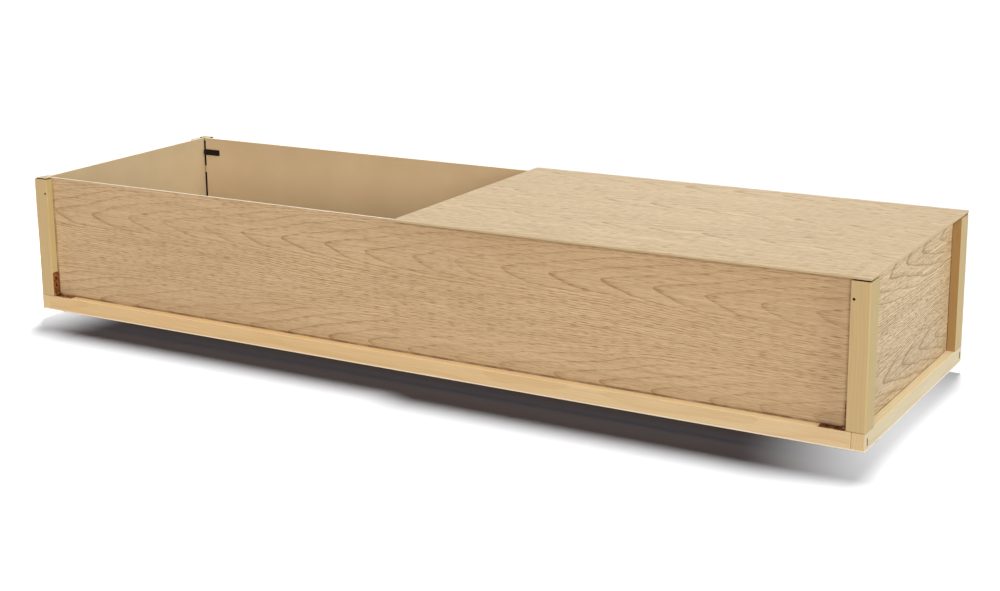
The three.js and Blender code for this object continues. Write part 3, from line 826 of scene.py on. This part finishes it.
def make_plain_pieces(mats):
    """The pieces whose CAD shape is right, with rounded edges."""
    for name in ("front", "back", "left", "right"):
        add_refined(f"rail_{name}", EDGE_TIMBER, 4, mats[f"rail_{name}"])
        add_refined(f"panel_{name}", EDGE_BOARD, 2, mats[f"board_{name}"])
    for name in ("left", "right"):
        add_refined(f"slat_{name}", EDGE_TIMBER, 4, mats[f"slat_{name}"])
    add_refined("bottom_board", EDGE_BOARD, 2, mats["board_plain"])
    add_refined("lid_half", EDGE_BOARD, 2, mats["board_lid"], "lid")
    for corner in CORNERS:
        add_refined(f"post_{corner}", EDGE_POST, 3, mats[f"post_{corner}"])
        add_refined(f"pad_{corner}", EDGE_SOFT, 2, mats["pad"])


def make_tape(mats):
    """Tape in the corner slots, with a thin lap over the long panel inside the box."""
    for name in ("tape_upper", "tape_lower"):
        low, high = in_corner(name)
        core_and_highlight = cuboid(low, high)
        lap = cuboid(Vector((low.x, high.y, low.z)), high + Vector((TAPE_LAP, TAPE_THICK, 0)))
        at_corners(name, merged(core_and_highlight, lap), mats["tape"])


def add_refined(node, edge, segments, material, body="base"):
    mesh = refined(node, edge, segments)
    mesh.materials.clear()
    add_piece(f"{node}_fine", mesh, material, body, [node])


# ---- Screws and staples ----


def cross_recess(bm, radius, depth, top):
    """Cuts a cross recess into the top of a screw's head."""
    cutter = bmesh.new()
    for turn in (0, 90):
        blade = bmesh.ops.create_cube(cutter, size=1)["verts"]
        size = Matrix.Diagonal((radius * 1.25, radius * 0.30, depth * 2, 1))
        place = Matrix.Translation((0, 0, top)) @ Matrix.Rotation(math.radians(turn), 4, "Z")
        bmesh.ops.transform(cutter, matrix=place @ size, verts=blade)
        low = [v for v in blade if v.co.z < top]
        bmesh.ops.scale(cutter, vec=(0.55, 0.55, 1), verts=low)
    return boolean(bm, cutter)


def boolean(bm, cutter):
    """The first bmesh with the second cut away. Both are freed."""
    objects = []
    for part in (bm, cutter):
        objects.append(bpy.data.objects.new("part", mesh_from(part)))
        bpy.context.scene.collection.objects.link(objects[-1])
    body, tool = objects
    cut = body.modifiers.new("cut", "BOOLEAN")
    cut.operation = "DIFFERENCE"
    cut.solver = "EXACT"
    cut.use_self = True
    cut.object = tool
    bpy.context.view_layer.update()
    evaluated = body.evaluated_get(bpy.context.evaluated_depsgraph_get())
    mesh = bpy.data.meshes.new_from_object(evaluated)
    result = bmesh.new()
    result.from_mesh(mesh)
    for leftover in objects:
        bpy.data.objects.remove(leftover)
    return result


def sunk_screw():
    """A countersunk screw along Z, with its head's top at z 0."""
    edge = [(SCREW_HEAD * 0.6, 0.08), (SCREW_HEAD * 0.92, -0.04), (SCREW_HEAD, -0.16)]
    thick = SCREW_HOLE - 0.25
    shank = [(thick, -SINK_DEPTH - 0.1), (thick, -7), (0.2, -9), (0, -9)]
    return cross_recess(turned([(0, HEAD_RISE), *edge, *shank], 28), SCREW_HEAD, 0.7, HEAD_RISE)


def pan_screw():
    """A pan head screw along Z, with the underside of its head at z 0."""
    dome = [(0, PAN_RISE), (PAN_HEAD * 0.55, PAN_RISE * 0.93), (PAN_HEAD * 0.86, PAN_RISE * 0.66)]
    rim = [(PAN_HEAD, PAN_RISE * 0.25), (PAN_HEAD, 0), (1.5, 0), (1.5, -6), (0, -6)]
    return cross_recess(turned(dome + rim, 28), PAN_HEAD, 1.0, PAN_RISE)


def make_staples(mats):
    """An upright staple near each end of the end rails, at their middle height."""
    low, high = in_corner("rail_left", "")
    middle = (low.z + high.z) / 2
    half, bend = STAPLE_CROWN / 2, STAPLE_BEND
    path = [
        (STAPLE_LEG, middle - half),
        *arc((bend, middle - half + bend), bend, 270, 180, 4),
        *arc((bend, middle + half - bend), bend, 180, 90, 4),
        (STAPLE_LEG, middle + half),
    ]
    wire = tube([Vector((x - STAPLE_RISE, STAPLE_INSET, z)) for x, z in path], STAPLE_WIRE)
    at_corners("staple", wire, mats["staple"])


def tube(points, radius, sides=10):
    """A closed round wire through points that lie in an XZ plane, as a bmesh."""
    bm = bmesh.new()
    rings = []
    for i, point in enumerate(points):
        before, after = points[max(i - 1, 0)], points[min(i + 1, len(points) - 1)]
        ahead = (after - before).normalized()
        side = Vector((0, 1, 0))
        up = ahead.cross(side)
        turns = [math.tau * k / sides for k in range(sides)]
        spots = [point + (side * math.cos(t) + up * math.sin(t)) * radius for t in turns]
        rings.append([bm.verts.new(spot) for spot in spots])
    for first, second in zip(rings, rings[1:]):
        for k in range(sides):
            bm.faces.new((first[k], first[k - 1], second[k - 1], second[k]))
    bm.faces.new(rings[0])
    bm.faces.new(reversed(rings[-1]))
    bmesh.ops.recalc_face_normals(bm, faces=bm.faces)
    return bm


# ---- Hinges ----

# Each turns a shape so that its x, y and z lie along other axes.
UP_TO_X = Matrix(((0, 0, 1, 0), (1, 0, 0, 0), (0, 1, 0, 0), (0, 0, 0, 1)))  # z to x, x to y, y to z
UP_TO_Y = Matrix(((0, 1, 0, 0), (0, 0, 1, 0), (1, 0, 0, 0), (0, 0, 0, 1)))  # z to y, x to z, y to x
X_FOR_Y = Matrix(((0, 1, 0, 0), (1, 0, 0, 0), (0, 0, 1, 0), (0, 0, 0, 1)))  # x and y swapped
Y_FOR_Z = Matrix(((1, 0, 0, 0), (0, 0, 1, 0), (0, 1, 0, 0), (0, 0, 0, 1)))  # y and z swapped


def knuckle(radius, bore, start, end, pin):
    """A rolled knuckle round the pin, which lies along Y."""
    edge = KNUCKLE_EDGE
    length = end - start
    outer = [(radius - edge, 0), (radius, edge), (radius, length - edge), (radius - edge, length)]
    inner = [(bore, length), (bore, 0)]
    return moved(turned(outer + inner), Matrix.Translation((pin.x, start, pin.z)) @ UP_TO_Y)


def hinge_leaf(width, length, screws, spans, knuckle_gap):
    """A leaf from z 0, with its width in x, and reaching in y from its tongues at the pin."""
    holes = [circle((width / 2, reach), SCREW_HOLE + 0.1) for reach in screws]
    corner = LEAF_CORNER
    outline = [
        *arc((width - corner, length - corner), corner, 0, 90, 6),
        *arc((corner, length - corner), corner, 90, 180, 6),
    ]
    if spans[0][0] > 0:
        outline.append((0, knuckle_gap))
    for start, end in spans:
        if start > 0:
            outline.append((start, knuckle_gap))
        outline += [(start, 0), (end, 0)]
        if end < width:
            outline.append((end, knuckle_gap))
    if spans[-1][1] < width:
        outline.append((width, knuckle_gap))
    return plate(outline, holes, LEAF_THICK, EDGE_STEEL)


def make_hinges(mats):
    """Two leaves, a pin and four screws at the foot of each post."""
    low, high = in_corner("hinge_pin")
    spots = make_leaves(mats, (low + high) / 2, (high.x - low.x) / 2)
    make_pins(mats, low, high)
    at_corners("hinge_screws", copies(sunk_screw(), spots), mats["screw"])


def make_leaves(mats, pin, pin_radius):
    """The post's leaf with a knuckle at the pin's middle, and the rail's with one at each end. Says
    where their screws go."""
    rail_top = in_corner("rail_front", "")[1].z
    post_edge = in_corner("post")[1].x
    post_low, post_high = in_corner("hinge_post_leaf")
    rail_low, rail_high = in_corner("hinge_rail_leaf")
    radius, width = post_high.x - pin.x, rail_high.y - rail_low.y
    first, second = width / 3, 2 * width / 3
    leaves = {
        "hinge_post_leaf": (
            post_high.z - pin.z,
            [rail_top + rise - pin.z for rise in POST_SCREWS],
            [(first + LEAF_GAP, second - LEAF_GAP)],
            Matrix.Translation((post_low.x, rail_low.y, pin.z)) @ UP_TO_X,
        ),
        "hinge_rail_leaf": (
            rail_high.x - pin.x,
            [post_edge + reach - pin.x for reach in RAIL_SCREWS],
            [(0, first - LEAF_GAP), (second + LEAF_GAP, width)],
            Matrix.Translation((pin.x, rail_low.y, rail_low.z)) @ X_FOR_Y,
        ),
    }
    spots = []
    for node, (length, screws, spans, place) in leaves.items():
        leaf = moved(hinge_leaf(width, length, screws, spans, radius + KNUCKLE_ROOM), place)
        ends = [(rail_low.y + start, rail_low.y + end) for start, end in spans]
        rolls = [knuckle(radius, pin_radius + PIN_PLAY, *span, pin) for span in ends]
        at_corners(node, merged(leaf, *rolls), mats["brass"])
        heads = [Matrix.Translation((width / 2, reach, LEAF_THICK)) for reach in screws]
        spots += [place @ head for head in heads]
    return spots


def make_pins(mats, low, high):
    """The hinges' pins, which lie along Y."""
    middle, radius, length = (low + high) / 2, (high.x - low.x) / 2, high.y - low.y
    end = [(0, 0), (radius - PIN_TIP, 0), (radius, PIN_TIP)]
    profile = end + [(r, length - z) for r, z in reversed(end)]
    pin = moved(turned(profile, 24), Matrix.Translation((middle.x, low.y, middle.z)) @ UP_TO_Y)
    at_corners("hinge_pin", pin, mats["brass"])


# ---- Turn buttons and rivets ----


def make_buttons(mats):
    """A bar with one round end on each rivet."""
    low, high = in_corner("turn_button")
    rivet_low, rivet_high = in_corner("rivet")
    pivot = (rivet_low + rivet_high) / 2
    half = (high.z - low.z) / 2
    reach = high.x - pivot.x
    corner = BUTTON_CORNER
    outline = [
        *arc((reach - corner, corner - half), corner, -90, 0, 5),
        *arc((reach - corner, half - corner), corner, 0, 90, 5),
        *arc((0, 0), half, 90, 270, 24),
    ]
    bar = plate(outline, [circle((0, 0), BUTTON_HOLE)], high.y - low.y, EDGE_BUTTON)
    bar = moved(bar, Matrix.Translation((pivot.x, low.y, pivot.z)) @ Y_FOR_Z)
    at_corners("turn_button", bar, mats["plastic"], "button")
    make_rivets(mats, pivot, rivet_low.y, rivet_high.y, (rivet_high.x - rivet_low.x) / 2)


def make_rivets(mats, pivot, start, end, head):
    """A rivet with a dome inside the box, and a hollow end in the post's face."""
    shank, thick, rim, hollow = 1.75, 1.4, 0.35, 0.9
    length = end - start
    neck = length - thick
    bulge = thick - rim
    dome = [(head * math.cos(t), neck + rim + bulge * math.sin(t)) for t in (0.35, 0.8, 1.2)]
    profile = [(0, 1.2), (hollow, 1.0), (hollow + 0.25, 0), (shank - 0.2, 0), (shank, 0.25)]
    profile += [(shank, neck), (head - 0.2, neck), (head, neck + 0.25), *dome, (0, length)]
    rivet = moved(turned(profile), Matrix.Translation((pivot.x, start, pivot.z)) @ UP_TO_Y)
    at_corners("rivet", rivet, mats["rivet"])


# ---- Rollers ----


def make_rollers(mats):
    """A bracket, a wheel and an axle near each corner."""
    wheel_low, wheel_high = in_corner("roller_wheel")
    centre = (wheel_low + wheel_high) / 2
    make_brackets(mats, centre)
    make_wheels(mats, centre, wheel_high.z - centre.z, wheel_high.x - centre.x)
    make_axles(mats, centre)


def make_brackets(mats, centre):
    """A plate with four screw holes, and two round-ended cheeks bent down from it."""
    low, high = in_corner("roller_bracket")
    long, wide = high.x - low.x, high.y - low.y
    inset = BRACKET_SCREW_INSET
    spots = [(x, y) for x in (inset, long - inset) for y in (inset, wide - inset)]
    holes = [circle(spot, BRACKET_HOLE, 24) for spot in spots]
    top = plate(rounded(long, wide, BRACKET_CORNER), holes, BRACKET_THICK, EDGE_STEEL)
    foot = high.z - BRACKET_THICK
    parts = [moved(top, Matrix.Translation((low.x, low.y, foot)))]
    axle_low, axle_high = in_corner("roller_axle")
    half = centre.z - low.z
    rise = foot - centre.z + 0.4  # a little into the plate
    outline = [*arc((0, 0), half, 180, 360, 20), (half, rise), (-half, rise)]
    inset = AXLE_HEAD + AXLE_ROOM
    for x in (axle_low.x + inset, axle_high.x - inset - BRACKET_THICK):
        cheek = plate(outline, [circle((0, 0), AXLE_HOLE, 24)], BRACKET_THICK, EDGE_STEEL)
        parts.append(moved(cheek, Matrix.Translation((x, centre.y, centre.z)) @ UP_TO_X))
    at_corners("roller_bracket", merged(*parts), mats["zinc"])

    turn_down = Matrix.Rotation(math.pi, 4, "X")
    places = [Matrix.Translation((low.x + x, low.y + y, foot)) @ turn_down for x, y in spots]
    at_corners("roller_screws", copies(pan_screw(), places), mats["zinc"])


def make_wheels(mats, centre, radius, half):
    """A wheel with a dished side, a raised hub and two fine grooves in its tread."""
    hub, dish, groove = 5, 1.5, radius - 0.35
    bore = [(AXLE_HOLE, half - 0.3), (AXLE_HOLE + 0.3, half)]
    face = [(hub - 0.3, half), (hub, half - 0.3), (hub + 0.5, half - dish)]
    # Pairs of how far in from the tread and from the wheel's side each point of the rim lies.
    rim = [(2.8, dish), (2.3, 0.8), (1.9, 0.6), (1.2, 0.6), (0.5, 0.9), (0.1, 1.5), (0, 2.2)]
    side = bore + face + [(radius - r, half - x) for r, x in rim]
    side += [(radius, 2.3), (groove, 2.0), (groove, 1.7), (radius, 1.4)]
    profile = side + [(r, -x) for r, x in reversed(side)]
    wheel = moved(turned(profile, 56), Matrix.Translation(centre) @ UP_TO_X)
    at_corners("roller_wheel", wheel, mats["wheel"], "wheel")


def make_axles(mats, centre):
    """Axles with a domed head at each end."""
    low, high = in_corner("roller_axle")
    length, head = high.x - low.x, (high.z - low.z) / 2
    end = [(0, 0), (head * 0.6, 0.1), (head * 0.9, 0.4), (head, 0.8), (head, AXLE_HEAD)]
    end += [(AXLE_RADIUS, AXLE_HEAD)]
    profile = end + [(r, length - z) for r, z in reversed(end)]
    axle = moved(turned(profile, 28), Matrix.Translation((low.x, centre.y, centre.z)) @ UP_TO_X)
    at_corners("roller_axle", axle, mats["zinc"])


# ---- Stage: floor, lights and camera ----

CAMERA_PLACE = (1.410, -2.369, 0.836)
CAMERA_YAW, CAMERA_PITCH, CAMERA_ROLL = -32.11, -13.16, -0.98  # degrees
FOCAL = 1.746  # of the picture's width
MIDDLE_OF_VIEW = (0.430, 0.230)  # where the camera points, in picture widths from the top left

FLOOR_TONE = (0.258, 0.276, 0.408)  # lit to white by its own lamps, so that its shadow stays dark
FLOOR_LIGHT = (1.0, 0.935, 0.635)
FLOOR_REACH = 12
# Sun lamps: where each comes from, how strongly it lights a face square to it, its colour and its
# spread in degrees. The floor has its own, which gives the box its soft shadow, and another lights
# only the inside of the box.
BOX_LAMPS = {
    "front": ((0.35, -0.90, 0.28), 0.765, (1.0, 0.955, 0.94), 24),
    "right": ((0.95, -0.20, 0.28), 0.72, (0.86, 1.0, 1.13), 24),
    "back": ((-0.35, 0.90, 0.15), 0.65, (1.0, 0.98, 0.95), 24),
    "left": ((-0.95, 0.20, 0.15), 0.65, (0.95, 1.0, 1.1), 24),
    "top": ((0.05, 0.10, 1.00), 0.54, (0.88, 1.0, 1.05), 50),
    "below": ((0.0, 0.0, -1.0), 0.25, (1.0, 1.0, 1.0), 150),
}
INSIDE_LAMP = ((0.97, -0.19, 0.45), 0.65, (0.97, 1.0, 1.03), 40)
FLOOR_LAMP = ((-0.15, 0.363, 1.00), 4.47, FLOOR_LIGHT, 15)
# Spot lamps above the box's ends, which nothing shades, so that the shadow fades away there: the
# middle of each lit patch of floor, how strongly it is lit, and its radius in metres.
FLOOR_FILLS = {
    "floor_left_end": ((-1.125, -0.15), 4.60, 0.55),
    "floor_right_end": ((1.15, -0.05), 3.30, 0.62),
}
FILL_HEIGHT = 4
FILL_SOFTNESS = 0.75
WORLD_LIGHT = 0.05  # on dull surfaces; gloss reflects a white room


def make_floor():
    """A plain floor, which nothing but the camera sees."""
    bm = bmesh.new()
    bmesh.ops.create_grid(bm, x_segments=1, y_segments=1, size=FLOOR_REACH)
    mesh = mesh_from(bm, "floor")
    floor = bpy.data.objects.new("floor", mesh)
    bpy.context.scene.collection.objects.link(floor)
    g = Graph("floor", roughness=0.9, shine=0.0)
    mesh.materials.append(g.finish(g.tint(FLOOR_TONE, g.noise(g.x / 900, g.y / 900) * 0.02 + 0.99)))
    floor.visible_diffuse = False
    floor.visible_glossy = False  # gloss reflects the white room instead
    floor.visible_shadow = False
    return floor


def make_sun(name, settings, pieces, state):
    """A sun lamp that lights only these pieces, or with the state EXCLUDE all but these."""
    come_from, strength, colour, spread = settings
    data = bpy.data.lights.new(name, "SUN")
    data.energy = strength * math.pi
    data.color = colour
    data.angle = math.radians(spread)
    lamp = place_lamp(data, come_from, pieces, state)
    lamp.visible_glossy = name == "top"  # a low lamp would glare off the lid


def make_fill(name, settings, floor):
    """A soft-edged spot lamp that lights only the floor, straight down through everything else."""
    middle, strength, radius = settings
    data = bpy.data.lights.new(name, "SPOT")
    data.energy = strength * math.pi * 4 * math.pi * FILL_HEIGHT**2
    data.color = FLOOR_LIGHT
    data.spot_size = 2 * math.atan2(radius, FILL_HEIGHT)
    data.spot_blend = FILL_SOFTNESS
    lamp = place_lamp(data, (0, 0, 1), [floor], "INCLUDE")
    lamp.location = (*middle, FILL_HEIGHT)
    lamp.light_linking.blocker_collection = lamp.light_linking.receiver_collection
    lamp.visible_camera = False
    lamp.visible_glossy = False


def place_lamp(data, come_from, pieces, state):
    """Puts a lamp in the scene, turned to shine from that direction, and links what it lights."""
    lamp = bpy.data.objects.new(data.name, data)
    lamp.rotation_mode = "QUATERNION"
    lamp.rotation_quaternion = Vector(come_from).to_track_quat("Z", "Y")
    bpy.context.scene.collection.objects.link(lamp)
    lit = bpy.data.collections.new(f"{data.name} lights")
    for piece in pieces:
        lit.objects.link(piece)
    for link in lit.collection_objects:
        link.light_linking.link_state = state
    lamp.light_linking.receiver_collection = lit
    return lamp


def make_lights(floor):
    nodes = ("panel_left", "panel_back", "bottom_board")
    inside = [bpy.data.objects[f"{node}_fine"] for node in nodes]
    for name, settings in BOX_LAMPS.items():
        spared = [floor, inside[0]] if name == "right" else [floor]
        make_sun(name, settings, spared, "EXCLUDE")
    make_sun("floor_back", FLOOR_LAMP, [floor], "INCLUDE")
    for name, settings in FLOOR_FILLS.items():
        make_fill(name, settings, floor)
    make_sun("inside", INSIDE_LAMP, inside, "INCLUDE")


def make_room():
    """A white room all round, which lights dull surfaces only faintly."""
    world = bpy.data.worlds.new("studio")
    world.use_nodes = True
    nodes, links = world.node_tree.nodes, world.node_tree.links
    path = nodes.new("ShaderNodeLightPath")
    seen = nodes.new("ShaderNodeMath")
    seen.operation = "MAXIMUM"
    links.new(path.outputs["Is Camera Ray"], seen.inputs[0])
    links.new(path.outputs["Is Glossy Ray"], seen.inputs[1])
    strength = nodes.new("ShaderNodeMapRange")
    strength.inputs["To Min"].default_value = WORLD_LIGHT
    links.new(seen.outputs[0], strength.inputs["Value"])
    background = nodes["Background"]
    background.inputs["Color"].default_value = (1, 1, 1, 1)
    links.new(strength.outputs[0], background.inputs["Strength"])
    bpy.context.scene.world = world
    bpy.context.scene.view_settings.view_transform = "Standard"


def make_camera():
    data = bpy.data.cameras.new("camera")
    data.sensor_width = 36
    data.lens = FOCAL * data.sensor_width
    data.shift_x = 0.5 - MIDDLE_OF_VIEW[0]
    data.shift_y = MIDDLE_OF_VIEW[1] - PHOTO_SIZE[1] / PHOTO_SIZE[0] / 2
    data.clip_end = 100
    camera = bpy.data.objects.new("camera", data)
    yaw, pitch, roll = (math.radians(a) for a in (CAMERA_YAW, CAMERA_PITCH, CAMERA_ROLL))
    aim = Matrix.Rotation(-yaw, 4, "Z") @ Matrix.Rotation(math.pi / 2 + pitch, 4, "X")
    camera.matrix_world = Matrix.Translation(CAMERA_PLACE) @ aim @ Matrix.Rotation(roll, 4, "Z")
    bpy.context.scene.collection.objects.link(camera)
    bpy.context.scene.camera = camera


materials = make_materials()
make_plain_pieces(materials)
make_tape(materials)
make_hinges(materials)
make_buttons(materials)
make_rollers(materials)
make_staples(materials)
make_lights(make_floor())
make_room()
make_camera()
